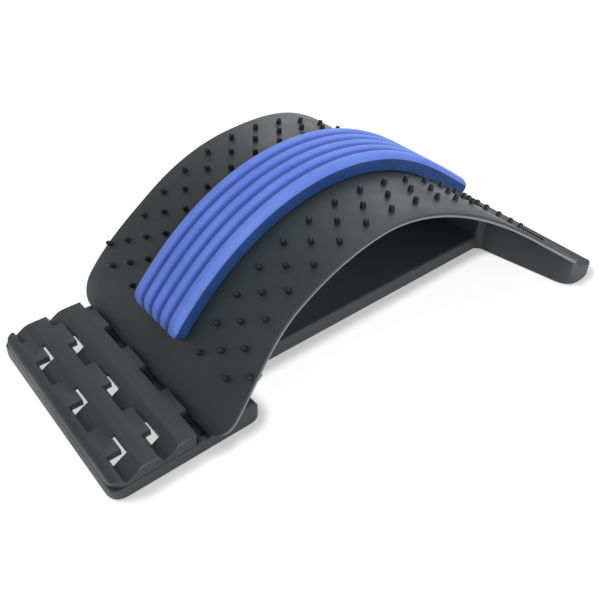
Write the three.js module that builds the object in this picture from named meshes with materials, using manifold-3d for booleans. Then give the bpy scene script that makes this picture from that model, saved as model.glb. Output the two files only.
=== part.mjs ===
// A lower back massager: a bowed board with pressure nubs and a ribbed foam pad,
// held between a stepped rack on one end of its base and open sockets on the other.
// Millimetres, +X along the length to the socket end, +Y across, +Z up.
// The origin is under the middle of the base, on the surface that it stands on.
import * as THREE from 'three';
import { mergeVertices } from 'three/addons/utils/BufferGeometryUtils.js';
import Module from 'manifold-3d';

const wasm = await Module();
wasm.setup();

// Base, outside sizes
const BASE_LENGTH = 389;
const BASE_LIFT = 0.8;
const BASE_WALL = 2.5;
const TRAY_LENGTH = 101;
const TRAY_WIDTH = 156;
const TRAY_HEIGHT = 13;
const TRAY_CORNER = 10;
const TRAY_SHOULDER = 5;
const TRAY_LEAN = 1.5;
const RIM_HEIGHT = 7.2;
const WAIST_WIDTH = 82;
const WAIST_HEIGHT = 12;
const WAIST_SHOULDER = 2.5;
const RIB_COUNT = 5;
const RIB_THICKNESS = 2;

// Wings at the socket end
const WING_WIDTH = 237;
const WING_DEPTH_MIDDLE = 49;
const WING_DEPTH_TIP = 36;
const WING_FILLET = 4;
const WING_FILLET_ROUND = 1;
const WING_CORNER = 22;
const WING_TIP_CORNER = 12;
const WING_LEAN = 3;
const WING_SHOULDER = 4.5;
const SILL_HEIGHT = 8.8;
const WING_ROOF = 3.2;

// Bowed board
const BOARD_THICKNESS = 3;
const CREST_HEIGHT = 101.5;
const BOARD_FOOT_HEIGHT = 10.8;
const HINGE_INSET = 12.5;
const HINGE_HEIGHT = 6.7;
const BOARD_NARROW = 162.5;
const BOARD_RACK_WIDTH = 178;
const BOARD_SOCKET_WIDTH = 233;
const RACK_CORNER = 17;
const SOCKET_CORNER = 16;

// Places along the board, as shares of the base's length
const CREST_SHARE = 0.5251;
const RACK_BEND_SHARE = 0.4653;
const SOCKET_BEND_SHARE = 0.3085;
const RACK_FLARE_START_SHARE = 0.2185;
const RACK_FLARE_SHARE = 0.1928;
const SOCKET_FLARE_START_SHARE = -0.0386;
const SOCKET_FLARE_SHARE = 0.437;
const FIRST_NUB_SHARE = -0.364;
const NUB_PITCH_SHARE = 0.0529;
const PAD_SHARE = 0.7481;

// Rack with its three levels
const RACK_WIDTH = 144;
const RACK_FIT_GAP = 0.4;
const RACK_SEAT = 4.5;
const RACK_WALL = 2.4;
const RACK_INSET = 5.9;
const RACK_LIP_HEIGHT = 13.2;
const RACK_LIP_ROUND = 5.4;
const RACK_END_ROUND = 3.2;
const FLANGE_GAP = 0.2;
const FIRST_EDGE = 8.5;
const FIRST_RUN = 22.5;
const SECOND_RUN = 25;
const LAST_FLOOR_LENGTH = 16.4;
const RIDGE_HEIGHT = 15.8;
const VALLEY_HEIGHT = 9.8;
const LAST_VALLEY_HEIGHT = 5.3;
const LIP_RISER = 1.7;
const RIDGE_RISER = 3.1;
const RAMP_RISE = 15;

// Slots of each level, and the fingers over their far sides
const SLOT_PITCH = 48;
const SLOT_OFFSET = 2.8;
const SLOT_WIDTH = 16.5;
const FIRST_SLOT = 11.1;
const SECOND_SLOT = 8.8;
const LAST_SLOT = 8.1;
const SLOT_FOOT = 0.3;
const FINGER_WIDTH = 22.4;
const FIRST_FINGER = 9.4;
const SECOND_FINGER = 6.2;
const LAST_FINGER = 4.9;
const FINGER_THICKNESS = 4.4;

// Tongues of the board that drop into the slots
const TONGUE_WIDTH = 15.5;
const TONGUE_THICKNESS = 1.4;
const TONGUE_FOOT_HEIGHT = 2;
const TONGUE_ROOT = 3.9;
const TONGUE_GAP = 1.4;

// Tabs and sockets of the hinge end
const TAB_PITCH = 62;
const TAB_WIDTH = 24;
const TAB_REACH = 11.5;
const TAB_ROOT = 4;
const KNUCKLE_RADIUS = 2.4;
const SOCKET_GAP = 0.3;
const SOCKET_SIDE_GAP = 0.5;
const BOARD_REST_GAP = 0.8;
const BOARD_END_GAP = 0.5;

// Nubs and the strips that carry them
const NUB_COLUMN_PITCH = 14;
const FIRST_COLUMN_Y = 41;
const NUB_RADIUS = 2.1;
const NUB_HEIGHT = 4.8;
const NUB_COLLAR = 0.5;
const NUB_SIDES = 6;
const NUB_HOLE_GAP = 0.3;
const STRIP_WIDTH = 9;
const STRIP_THICKNESS = 1.4;
const STRIP_GAP = 0.3;
const STRIP_END_MARGIN = 5;
const ARM_MARGIN = 2.2;
const INNER_ROWS = 14;
const MIDDLE_ROWS = 13;
const OUTER_ROWS = 15;

// Foam pad and its adhesive sheet
const PAD_WIDTH = 50;
const PAD_THICKNESS = 12;
const PAD_RIBS = 5;
const PAD_GROOVE = 2.6;
const PAD_EDGE = 1.5;
const PAD_CORNER = 8;
const PAD_END_DROP = 4.5;
const PAD_GAP = 0.15;
const ADHESIVE_THICKNESS = 0.6;
const ADHESIVE_MARGIN = 2;

// Screws and feet
const SCREW_PITCH_Y = 48;
const SCREW_INSET = 17.6;
const SCREW_PITCH_X = 25;
const SCREW_LENGTH = 9;
const SCREW_RADIUS = 1.3;
const SCREW_HEAD_RADIUS = 2.9;
const SCREW_HEAD_HEIGHT = 1.7;
const SCREW_GAP = 0.3;
const BOSS_RADIUS = 3.6;
const BAR_WIDTH = 9;
const LEDGE_WIDTH = 4;
const FOOT_RADIUS = 5;
const FOOT_HEIGHT = 2.4;
const FOOT_GAP = 0.3;
const FOOT_BOSS_RADIUS = 8;
const RACK_FOOT_END = 14.5;
const RACK_FOOT_SIDE = 6;
const WAIST_FOOT_END = 14.5;
const WAIST_FOOT_SIDE = 11;
const WING_FOOT_END = 16.5;
const WING_FOOT_SIDE = 20.5;

// One overrun serves all cuts
const OVERRUN = 5;
const ROUND_STEPS = 5;
const PLAN_STEPS = 8;
const CIRCLE_SIDES = 12;
const BEND_PITCH = 10;
const CORNER_STEPS = 5;
const PAD_RIB_STEPS = 5;
const ARC_STEPS = 60;
const SOLVE_STEPS = 40;

const BASE_LEFT = -BASE_LENGTH / 2;
const BASE_RIGHT = BASE_LENGTH / 2;
const TRAY_RIGHT = BASE_LEFT + TRAY_LENGTH;
const RACK_LIP_X = BASE_LEFT + RACK_INSET;
const FLANK_X = BASE_LEFT + TRAY_LEAN;
const FIRST_EDGE_X = BASE_LEFT + FIRST_EDGE;
const SECOND_EDGE_X = FIRST_EDGE_X + FIRST_RUN;
const LAST_EDGE_X = SECOND_EDGE_X + SECOND_RUN;
const RACK_RIGHT = LAST_EDGE_X + LAST_FLOOR_LENGTH;
const SCREW_FIRST_X = RACK_LIP_X + SCREW_INSET;
const CREST_X = BASE_LEFT + CREST_SHARE * BASE_LENGTH;
const HINGE_X = BASE_RIGHT - HINGE_INSET;
const NUB_PITCH = NUB_PITCH_SHARE * BASE_LENGTH;
const FIRST_NUB_ARC = FIRST_NUB_SHARE * BASE_LENGTH;
const PAD_ARC = PAD_SHARE * BASE_LENGTH;

// Each level of the rack, from the first, which holds the board lowest
const LEVELS = [
  {
    edge: FIRST_EDGE_X,
    height: RACK_LIP_HEIGHT,
    riser: LIP_RISER,
    slot: FIRST_SLOT,
    finger: FIRST_FINGER,
  },
  {
    edge: SECOND_EDGE_X,
    height: RIDGE_HEIGHT,
    riser: RIDGE_RISER,
    slot: SECOND_SLOT,
    finger: SECOND_FINGER,
  },
  { edge: LAST_EDGE_X, height: RIDGE_HEIGHT, riser: 0, slot: LAST_SLOT, finger: LAST_FINGER },
];
const HOLE_RADIUS = NUB_RADIUS + NUB_HOLE_GAP;
const slotRows = [SLOT_OFFSET - SLOT_PITCH, SLOT_OFFSET, SLOT_OFFSET + SLOT_PITCH];
const tabRows = [-TAB_PITCH, 0, TAB_PITCH];

const footPlaces = [
  { name: 'rack', x: BASE_LEFT + RACK_FOOT_END, y: TRAY_WIDTH / 2 - RACK_FOOT_SIDE },
  { name: 'waist', x: TRAY_RIGHT - WAIST_FOOT_END, y: TRAY_WIDTH / 2 - WAIST_FOOT_SIDE },
  { name: 'wing', x: BASE_RIGHT - WING_FOOT_END, y: WING_WIDTH / 2 - WING_FOOT_SIDE },
].flatMap(({ name, x, y }) => [{ name: `${name}_left`, x, y }, { name: `${name}_right`, x, y: -y }]);

// Materials
function plastic(color, roughness) {
  return new THREE.MeshStandardMaterial({ color, roughness, metalness: 0 });
}

const baseMaterial = plastic(0x2b3234, 0.55);
const boardMaterial = plastic(0x44484b, 0.5);
const nubMaterial = plastic(0x17191b, 0.45);
const foamMaterial = plastic(0x3d5fc4, 0.85);
const adhesiveMaterial = plastic(0xd8d8d2, 0.6);
const rubberMaterial = plastic(0x1c1c1c, 0.9);
const steelMaterial = new THREE.MeshStandardMaterial({ color: 0xb4b6b8, roughness: 0.35, metalness: 1 });

// Solids from geometries and back
function solidFrom(geometry) {
  const plain = geometry.index ? geometry.toNonIndexed() : geometry.clone();
  plain.deleteAttribute('normal');
  plain.deleteAttribute('uv');
  const merged = mergeVertices(plain);
  const mesh = new wasm.Mesh({
    numProp: 3,
    vertProperties: Float32Array.from(merged.attributes.position.array),
    triVerts: Uint32Array.from(merged.index.array),
  });
  return new wasm.Manifold(mesh);
}

function joinAll(solids) {
  return solids.reduce((sum, next) => sum.add(next));
}

function cutAll(body, cutters) {
  return cutters.reduce((rest, cutter) => rest.subtract(cutter), body);
}

function addPart(group, name, solid, material) {
  const mesh = solid.getMesh();
  const geometry = new THREE.BufferGeometry();
  geometry.setAttribute('position', new THREE.BufferAttribute(mesh.vertProperties, 3));
  geometry.setIndex(new THREE.BufferAttribute(mesh.triVerts, 1));
  geometry.computeVertexNormals();
  const part = new THREE.Mesh(geometry, material);
  part.name = name;
  group.add(part);
}

// Simple solids
function box(x0, x1, y0, y1, z0, z1) {
  const geometry = new THREE.BoxGeometry(x1 - x0, y1 - y0, z1 - z0);
  geometry.translate((x0 + x1) / 2, (y0 + y1) / 2, (z0 + z1) / 2);
  return solidFrom(geometry);
}

function post(x, y, z0, z1, radius) {
  const geometry = new THREE.CylinderGeometry(radius, radius, z1 - z0, CIRCLE_SIDES);
  geometry.rotateX(Math.PI / 2);
  geometry.translate(x, y, (z0 + z1) / 2);
  return solidFrom(geometry);
}

function extruded(shape, depth, matrix) {
  const options = { depth, bevelEnabled: false, curveSegments: PLAN_STEPS };
  const geometry = new THREE.ExtrudeGeometry(shape, options);
  geometry.applyMatrix4(matrix);
  return solidFrom(geometry);
}

function shapeOf(points) {
  return new THREE.Shape(points.map(([u, v]) => new THREE.Vector2(u, v)));
}

// A side profile in X and Z, carried across Y
function acrossY(points, y0, y1) {
  const matrix = new THREE.Matrix4().makeBasis(
    new THREE.Vector3(1, 0, 0),
    new THREE.Vector3(0, 0, 1),
    new THREE.Vector3(0, -1, 0),
  );
  matrix.setPosition(0, y1, 0);
  return extruded(shapeOf(points), y1 - y0, matrix);
}

// An end profile in Y and Z, carried along X
function alongX(points, x0, x1) {
  const matrix = new THREE.Matrix4().makeBasis(
    new THREE.Vector3(0, 1, 0),
    new THREE.Vector3(0, 0, 1),
    new THREE.Vector3(1, 0, 0),
  );
  matrix.setPosition(x0, 0, 0);
  return extruded(shapeOf(points), x1 - x0, matrix);
}

// A plan outline with rounded corners, carried up Z
function upZ(corners, z0, z1) {
  const shape = new THREE.Shape();
  corners.forEach(({ x, y, radius }, i) => {
    const here = new THREE.Vector2(x, y);
    const before = corners[(i + corners.length - 1) % corners.length];
    const after = corners[(i + 1) % corners.length];
    const into = new THREE.Vector2(before.x, before.y).sub(here).setLength(radius).add(here);
    const out = new THREE.Vector2(after.x, after.y).sub(here).setLength(radius).add(here);
    if (i === 0) shape.moveTo(into.x, into.y);
    else shape.lineTo(into.x, into.y);
    shape.quadraticCurveTo(x, y, out.x, out.y);
  });
  shape.closePath();
  return extruded(shape, z1 - z0, new THREE.Matrix4().makeTranslation(0, 0, z0));
}

// A quarter round from a side wall up to a flat top, as points with the outer one first
function shoulder(outer, top, radius, side) {
  const points = [];
  for (let i = 0; i <= ROUND_STEPS; i += 1) {
    const turn = (i / ROUND_STEPS) * (Math.PI / 2);
    points.push([outer + side * radius * (1 - Math.cos(turn)), top - radius * (1 - Math.sin(turn))]);
  }
  return points;
}

// A leaning outer wall from the ground up to its rounded top edge
function leaningWall(outer, lean, top, radius, side) {
  return [[outer, BASE_LIFT]].concat(shoulder(outer + side * lean, top, radius, side));
}

// A closed outline between two leaning walls
function leaningOutline(low, high, lean, top, radius) {
  const far = leaningWall(high, lean, top, radius, -1).reverse();
  return leaningWall(low, lean, top, radius, 1).concat(far);
}

// The board's curve: its angle eases from level at the crest to a straight end
function easedShare(share) {
  const held = Math.min(share, 1);
  return (3 * held - held ** 3) / 2;
}

// How far a bend has come along and down at an arc length from the crest, over or under its face
function bentAway(bend, arc, over) {
  const step = arc / ARC_STEPS;
  let reach = 0;
  let drop = 0;
  for (let i = 0; i < ARC_STEPS; i += 1) {
    const angle = bend.angle * easedShare(((i + 1 / 2) * step) / bend.arc);
    reach += Math.cos(angle) * step;
    drop += Math.sin(angle) * step;
  }
  const angle = bend.angle * easedShare(arc / bend.arc);
  return { reach: reach + Math.sin(angle) * over, drop: drop - Math.cos(angle) * over, angle };
}

// The value at which a rising measure comes to its target
function solveRising(measure, target, low, high) {
  let below = low;
  let above = high;
  for (let i = 0; i < SOLVE_STEPS; i += 1) {
    const middle = (below + above) / 2;
    if (measure(middle) < target) below = middle;
    else above = middle;
  }
  return above;
}

function arcAtReach(bend, over, reach) {
  return solveRising((arc) => bentAway(bend, arc, over).reach, reach, 0, 2 * reach);
}

// The end angle that brings the board down to a height at a reach from the crest
function solveBend(arc, over, reach, height) {
  const drop = (angle) => bentAway({ angle, arc }, arcAtReach({ angle, arc }, over, reach), over).drop;
  return { angle: solveRising(drop, CREST_HEIGHT - height, 0, Math.PI / 2), arc };
}

const BOARD_END_X = LAST_EDGE_X + LAST_FINGER + TONGUE_GAP;
const RACK_REACH = CREST_X - BOARD_END_X;
const SOCKET_REACH = HINGE_X - CREST_X;
const MIDPLANE = -BOARD_THICKNESS / 2;
const rackBend = solveBend(RACK_BEND_SHARE * BASE_LENGTH, 0, RACK_REACH, BOARD_FOOT_HEIGHT);
const socketBend = solveBend(SOCKET_BEND_SHARE * BASE_LENGTH, MIDPLANE, SOCKET_REACH, HINGE_HEIGHT);
const RACK_ARC = -arcAtReach(rackBend, 0, RACK_REACH);
const SOCKET_ARC = arcAtReach(socketBend, MIDPLANE, SOCKET_REACH) - TAB_REACH;

// A point at a height over the board's top face, at an arc length from the crest
function boardPoint(arc, over = 0) {
  const side = arc < 0 ? -1 : 1;
  const { reach, drop, angle } = bentAway(arc < 0 ? rackBend : socketBend, side * arc, over);
  return { x: CREST_X + side * reach, z: CREST_HEIGHT - drop, angle: -side * angle };
}

function smoothShare(share) {
  const held = Math.min(Math.max(share, 0), 1);
  return held * held * (3 - 2 * held);
}

// Half the board's width at an arc length, without its rounded corners
function flareHalfWidth(arc) {
  const share = arc / BASE_LENGTH;
  const toRack = smoothShare((-share - RACK_FLARE_START_SHARE) / RACK_FLARE_SHARE);
  const toSocket = smoothShare((share - SOCKET_FLARE_START_SHARE) / SOCKET_FLARE_SHARE);
  const rackGain = (BOARD_RACK_WIDTH - BOARD_NARROW) / 2;
  const socketGain = (BOARD_SOCKET_WIDTH - BOARD_NARROW) / 2;
  return BOARD_NARROW / 2 + rackGain * toRack + socketGain * toSocket;
}

function cornerLoss(toEnd, radius) {
  const inside = Math.min(Math.max(radius - toEnd, 0), radius);
  return radius - Math.sqrt(radius * radius - inside * inside);
}

function boardHalfWidth(arc) {
  const loss = cornerLoss(arc - RACK_ARC, RACK_CORNER) + cornerLoss(SOCKET_ARC - arc, SOCKET_CORNER);
  return flareHalfWidth(arc) - loss;
}

function evenArcs(from, to, steps) {
  return Array.from({ length: steps + 1 }, (_, i) => from + ((to - from) * i) / steps);
}

// Arcs between two ends, on one lattice that all bent pieces share
function bendArcs(from, to) {
  const first = Math.floor(from / BEND_PITCH) + 1;
  const last = Math.ceil(to / BEND_PITCH) - 1;
  const between = Array.from({ length: last - first + 1 }, (_, i) => (first + i) * BEND_PITCH);
  return [from, ...between, to];
}

// Arcs that close up towards an end with a round corner
function cornerArcs(end, radius, side) {
  return Array.from({ length: CORNER_STEPS + 1 }, (_, i) => {
    const turn = (i / CORNER_STEPS) * (Math.PI / 2);
    return end + side * radius * (1 - Math.cos(turn));
  });
}

// A plate that follows the board's curve between two heights and two edges
function bentPlate(arcs, lowEdge, highEdge, under, over) {
  const positions = [];
  const indices = [];
  arcs.forEach((arc) => {
    const below = boardPoint(arc, under);
    const above = boardPoint(arc, over);
    positions.push(below.x, lowEdge(arc), below.z, below.x, highEdge(arc), below.z);
    positions.push(above.x, highEdge(arc), above.z, above.x, lowEdge(arc), above.z);
  });
  for (let i = 0; i + 1 < arcs.length; i += 1) {
    for (let side = 0; side < 4; side += 1) {
      const a = 4 * i + side;
      const b = 4 * i + ((side + 1) % 4);
      indices.push(a, b, a + 4, b, b + 4, a + 4);
    }
  }
  const last = 4 * (arcs.length - 1);
  indices.push(0, 2, 1, 0, 3, 2);
  indices.push(last, last + 1, last + 2, last, last + 2, last + 3);
  const geometry = new THREE.BufferGeometry();
  geometry.setAttribute('position', new THREE.Float32BufferAttribute(positions, 3));
  geometry.setIndex(indices);
  return solidFrom(geometry);
}

// A turned shape that stands square on the board at an arc and a width
function turnedOnBoard(profile, arc, y) {
  const points = profile.map(([radius, height]) => new THREE.Vector2(radius, height));
  const geometry = new THREE.LatheGeometry(points, NUB_SIDES);
  const { x, z, angle } = boardPoint(arc);
  geometry.rotateX(Math.PI / 2);
  geometry.rotateY(-angle);
  geometry.translate(x, y, z);
  return solidFrom(geometry);
}

// Nub places, one list for each strip
function rowArc(row) {
  return FIRST_NUB_ARC + row * NUB_PITCH;
}

function nubRows(count, first) {
  return Array.from({ length: count }, (_, i) => i + first);
}

const halfRow = 1 / 2;
const edgeNubRows = [halfRow, MIDDLE_ROWS + halfRow];
const stripPlans = [
  { name: 'inner', column: 0, rows: nubRows(INNER_ROWS, 0), edgeRows: [] },
  { name: 'middle', column: 1, rows: nubRows(MIDDLE_ROWS, halfRow), edgeRows: [] },
  { name: 'outer', column: 2, rows: nubRows(OUTER_ROWS, 0), edgeRows: edgeNubRows },
];

function columnY(column) {
  return FIRST_COLUMN_Y + column * NUB_COLUMN_PITCH;
}

function stripNubs(plan) {
  const own = plan.rows.map((row) => ({ arc: rowArc(row), y: columnY(plan.column) }));
  const edge = plan.edgeRows.map((row) => ({ arc: rowArc(row), y: columnY(plan.column + 1) }));
  return own.concat(edge);
}

function nubStrip(plan, side) {
  const top = -(BOARD_THICKNESS + STRIP_GAP);
  const under = top - STRIP_THICKNESS;
  const y = columnY(plan.column);
  const first = rowArc(plan.rows[0]) - STRIP_END_MARGIN;
  const last = rowArc(plan.rows[plan.rows.length - 1]) + STRIP_END_MARGIN;
  const edges = [side * (y - STRIP_WIDTH / 2), side * (y + STRIP_WIDTH / 2)].sort((a, b) => a - b);
  const solids = [bentPlate(bendArcs(first, last), () => edges[0], () => edges[1], under, top)];
  plan.edgeRows.forEach((row) => {
    const arcs = [rowArc(row) - STRIP_WIDTH / 2, rowArc(row) + STRIP_WIDTH / 2];
    const reach = [side * y, side * (columnY(plan.column + 1) + ARM_MARGIN)].sort((a, b) => a - b);
    solids.push(bentPlate(arcs, () => reach[0], () => reach[1], under, top));
  });
  const profile = [
    [0, under + STRIP_THICKNESS / 2],
    [NUB_RADIUS, under + STRIP_THICKNESS / 2],
    [NUB_RADIUS, NUB_COLLAR],
    [0, NUB_HEIGHT],
  ];
  stripNubs(plan).forEach((nub) => solids.push(turnedOnBoard(profile, nub.arc, side * nub.y)));
  return joinAll(solids);
}

// The hinge line, through the middle of the knuckles
const socketEnd = boardPoint(SOCKET_ARC, MIDPLANE);

function hingeTab(y) {
  const along = new THREE.Vector2(Math.cos(socketEnd.angle), Math.sin(socketEnd.angle));
  const square = new THREE.Vector2(-along.y, along.x).multiplyScalar(BOARD_THICKNESS / 2);
  const root = new THREE.Vector2(socketEnd.x, socketEnd.z).addScaledVector(along, -TAB_ROOT);
  const tip = new THREE.Vector2(HINGE_X, HINGE_HEIGHT);
  const points = [root, tip, tip, root].map((end, i) => {
    const offset = i < 2 ? -1 : 1;
    return [end.x + offset * square.x, end.y + offset * square.y];
  });
  const low = y - TAB_WIDTH / 2;
  const high = y + TAB_WIDTH / 2;
  const barrel = new THREE.CylinderGeometry(KNUCKLE_RADIUS, KNUCKLE_RADIUS, TAB_WIDTH, CIRCLE_SIDES);
  barrel.translate(HINGE_X, y, HINGE_HEIGHT);
  return acrossY(points, low, high).add(solidFrom(barrel));
}

function archBoard() {
  const spare = OVERRUN;
  const arcs = [RACK_ARC - spare]
    .concat(cornerArcs(RACK_ARC, RACK_CORNER, 1))
    .concat(bendArcs(RACK_ARC + RACK_CORNER, SOCKET_ARC - SOCKET_CORNER).slice(1, -1))
    .concat(cornerArcs(SOCKET_ARC, SOCKET_CORNER, -1).reverse());
  const width = (arc) => boardHalfWidth(Math.max(arc, RACK_ARC));
  const plate = bentPlate(arcs, (arc) => -width(arc), (arc) => width(arc), -BOARD_THICKNESS, 0);
  const endTrim = box(
    BOARD_END_X - 2 * TONGUE_ROOT - spare,
    BOARD_END_X,
    -BOARD_RACK_WIDTH,
    BOARD_RACK_WIDTH,
    -CREST_HEIGHT,
    CREST_HEIGHT,
  );
  const tongueTop = LAST_VALLEY_HEIGHT + TONGUE_ROOT;
  const tongues = slotRows.map((row) => {
    const y = row - SLOT_WIDTH / 2;
    const low = y - TONGUE_WIDTH / 2;
    const high = y + TONGUE_WIDTH / 2;
    return box(BOARD_END_X, BOARD_END_X + TONGUE_THICKNESS, low, high, TONGUE_FOOT_HEIGHT, tongueTop);
  });
  const below = -2 * BOARD_THICKNESS;
  const drill = [[0, below], [HOLE_RADIUS, below], [HOLE_RADIUS, BOARD_THICKNESS], [0, BOARD_THICKNESS]];
  const holes = [];
  [-1, 1].forEach((side) => stripPlans.forEach((plan) => stripNubs(plan).forEach((nub) => {
    holes.push(turnedOnBoard(drill, nub.arc, side * nub.y));
  })));
  const body = joinAll([plate.subtract(endTrim)].concat(tongues, tabRows.map(hingeTab)));
  return cutAll(body, holes);
}

// Rack
function rampHeight(start, x) {
  const held = Math.min(Math.max((x - start) / RAMP_RISE, 0), 1);
  return VALLEY_HEIGHT + (RIDGE_HEIGHT - VALLEY_HEIGHT) * Math.sin((held * Math.PI) / 2);
}

// One valley and the ramp after it, lowered by a wall for the hollow inside
function rampPoints(level, lowered) {
  const foot = LEVELS[level].edge + LEVELS[level].riser;
  const points = evenArcs(foot, foot + RAMP_RISE, 2 * ROUND_STEPS).map((x, i) => {
    return [i === 0 ? x - lowered : x + lowered / 2, rampHeight(foot, x) - lowered];
  });
  points.push([LEVELS[level + 1].edge - lowered, RIDGE_HEIGHT - lowered]);
  return points;
}

// The rack's flange lies over the rim of the tray and goes on in line with its walls
function rackFlange() {
  const half = TRAY_WIDTH / 2 - TRAY_LEAN;
  const low = RIM_HEIGHT + FLANGE_GAP;
  const lip = shoulder(FLANK_X, RACK_LIP_HEIGHT, RACK_LIP_ROUND, 1);
  const outline = [[FLANK_X, low]].concat(lip, [[FIRST_EDGE_X, RACK_LIP_HEIGHT]]);
  outline.push(...rampPoints(0, 0), ...rampPoints(1, 0), [LAST_EDGE_X, low]);
  const end = [[-half, low]].concat(shoulder(-half, RIDGE_HEIGHT, RACK_END_ROUND, 1));
  end.push(...shoulder(half, RIDGE_HEIGHT, RACK_END_ROUND, -1).reverse(), [half, low]);
  const corners = [
    { x: FLANK_X, y: -half, radius: TRAY_CORNER },
    { x: LAST_EDGE_X, y: -half, radius: RACK_WALL },
    { x: LAST_EDGE_X, y: half, radius: RACK_WALL },
    { x: FLANK_X, y: half, radius: TRAY_CORNER },
  ];
  return upZ(corners, low, RIDGE_HEIGHT + OVERRUN)
    .intersect(acrossY(outline, -half, half))
    .intersect(alongX(end, FLANK_X, LAST_EDGE_X));
}

function levelRack() {
  const half = RACK_WIDTH / 2;
  const shared = RIM_HEIGHT + RACK_WALL / 2;
  const stem = acrossY([
    [RACK_LIP_X, RACK_SEAT],
    [RACK_LIP_X, shared],
    [LAST_EDGE_X, shared],
    [LAST_EDGE_X, LAST_VALLEY_HEIGHT],
    [RACK_RIGHT, LAST_VALLEY_HEIGHT],
    [RACK_RIGHT, RACK_SEAT],
  ], -half, half);
  const hollow = [[RACK_LIP_X + RACK_WALL, RACK_SEAT - OVERRUN]];
  hollow.push([RACK_LIP_X + RACK_WALL, VALLEY_HEIGHT - RACK_WALL]);
  hollow.push(...rampPoints(0, RACK_WALL).slice(1), ...rampPoints(1, RACK_WALL));
  hollow.push([LAST_EDGE_X - RACK_WALL, RACK_SEAT - OVERRUN]);
  const rib = BASE_WALL / 2;
  const screwY = SCREW_PITCH_Y / 2;
  const bays = [
    [-half + RACK_WALL, -screwY - rib],
    [-screwY + rib, screwY - rib],
    [screwY + rib, half - RACK_WALL],
  ];
  const outer = stem.add(rackFlange());
  let body = cutAll(outer, bays.map(([low, high]) => acrossY(hollow, low, high)));
  const bossTop = RIDGE_HEIGHT - RACK_WALL;
  const bosses = screwPlaces.map(({ x, y }) => post(x, y, RACK_SEAT, bossTop, BOSS_RADIUS));
  body = joinAll([body].concat(bosses));
  const pilotTop = screwTop + SCREW_GAP;
  body = cutAll(body, screwPlaces.map(({ x, y }) => {
    return post(x, y, RACK_SEAT - OVERRUN, pilotTop, SCREW_RADIUS + SCREW_GAP);
  }));
  const slots = [];
  const fingers = [];
  LEVELS.forEach(({ edge, height, riser, slot, finger }) => {
    const start = edge + riser - (riser > 0 ? SLOT_FOOT : 0);
    slotRows.forEach((y) => {
      const low = y - FINGER_WIDTH / 2;
      slots.push(box(start, edge + slot, y - SLOT_WIDTH, y, -OVERRUN, RIDGE_HEIGHT + OVERRUN));
      const under = height - FINGER_THICKNESS;
      fingers.push(box(edge - rib, edge + finger, low, low + FINGER_WIDTH, under, height));
    });
  });
  return joinAll([cutAll(body, slots)].concat(fingers));
}

// Base
const screwTop = RACK_SEAT + SCREW_LENGTH - SCREW_HEAD_HEIGHT - BASE_LIFT;
const screwPlaces = [0, 1].flatMap((column) => [-1, 1].map((side) => ({
  x: SCREW_FIRST_X + column * SCREW_PITCH_X,
  y: (side * SCREW_PITCH_Y) / 2,
})));

function trayCorners(inset) {
  const left = BASE_LEFT + inset;
  const right = TRAY_RIGHT - inset;
  const half = TRAY_WIDTH / 2 - inset;
  const radius = TRAY_CORNER;
  return [
    { x: left, y: -half, radius },
    { x: right, y: -half, radius },
    { x: right, y: half, radius },
    { x: left, y: half, radius },
  ];
}

function trayOuter() {
  const half = TRAY_WIDTH / 2;
  const side = leaningOutline(BASE_LEFT, TRAY_RIGHT, TRAY_LEAN, TRAY_HEIGHT, TRAY_SHOULDER);
  const end = leaningOutline(-half, half, TRAY_LEAN, TRAY_HEIGHT, TRAY_SHOULDER);
  const plan = upZ(trayCorners(0), BASE_LIFT, TRAY_HEIGHT);
  return plan.intersect(acrossY(side, -half, half)).intersect(alongX(end, BASE_LEFT, TRAY_RIGHT));
}

function waistOuter() {
  const half = WAIST_WIDTH / 2;
  const end = [[-half, BASE_LIFT]].concat(shoulder(-half, WAIST_HEIGHT, WAIST_SHOULDER, 1));
  end.push(...shoulder(half, WAIST_HEIGHT, WAIST_SHOULDER, -1).reverse(), [half, BASE_LIFT]);
  return alongX(end, TRAY_RIGHT - TRAY_CORNER, BASE_RIGHT - WING_DEPTH_TIP);
}

function wingCorners(inset) {
  const outer = BASE_RIGHT - inset;
  const middle = BASE_RIGHT - WING_DEPTH_MIDDLE + inset;
  const tip = BASE_RIGHT - WING_DEPTH_TIP + inset;
  const half = WING_WIDTH / 2 - inset;
  const waist = WAIST_WIDTH / 2;
  const fillet = waist + WING_FILLET;
  const soft = WING_FILLET_ROUND;
  const outerRound = WING_CORNER - inset;
  const tipRound = WING_TIP_CORNER - inset;
  return [
    { x: outer, y: -half, radius: outerRound },
    { x: outer, y: half, radius: outerRound },
    { x: tip, y: half, radius: tipRound },
    { x: middle, y: fillet, radius: soft },
    { x: middle - WING_FILLET, y: waist - inset, radius: soft },
    { x: middle - WING_FILLET, y: inset - waist, radius: soft },
    { x: middle, y: -fillet, radius: soft },
    { x: tip, y: -half, radius: tipRound },
  ];
}

// Height of the face that the board's underside rests over, on its straight end
function restHeight(x, lowered) {
  const under = boardPoint(SOCKET_ARC, -(BOARD_THICKNESS + BOARD_REST_GAP + lowered));
  return under.z + (x - under.x) * Math.tan(under.angle);
}

// Where that face comes down to a given height
function restReach(height) {
  const under = boardPoint(SOCKET_ARC, -(BOARD_THICKNESS + BOARD_REST_GAP));
  return under.x + (height - under.z) / Math.tan(under.angle);
}

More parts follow.
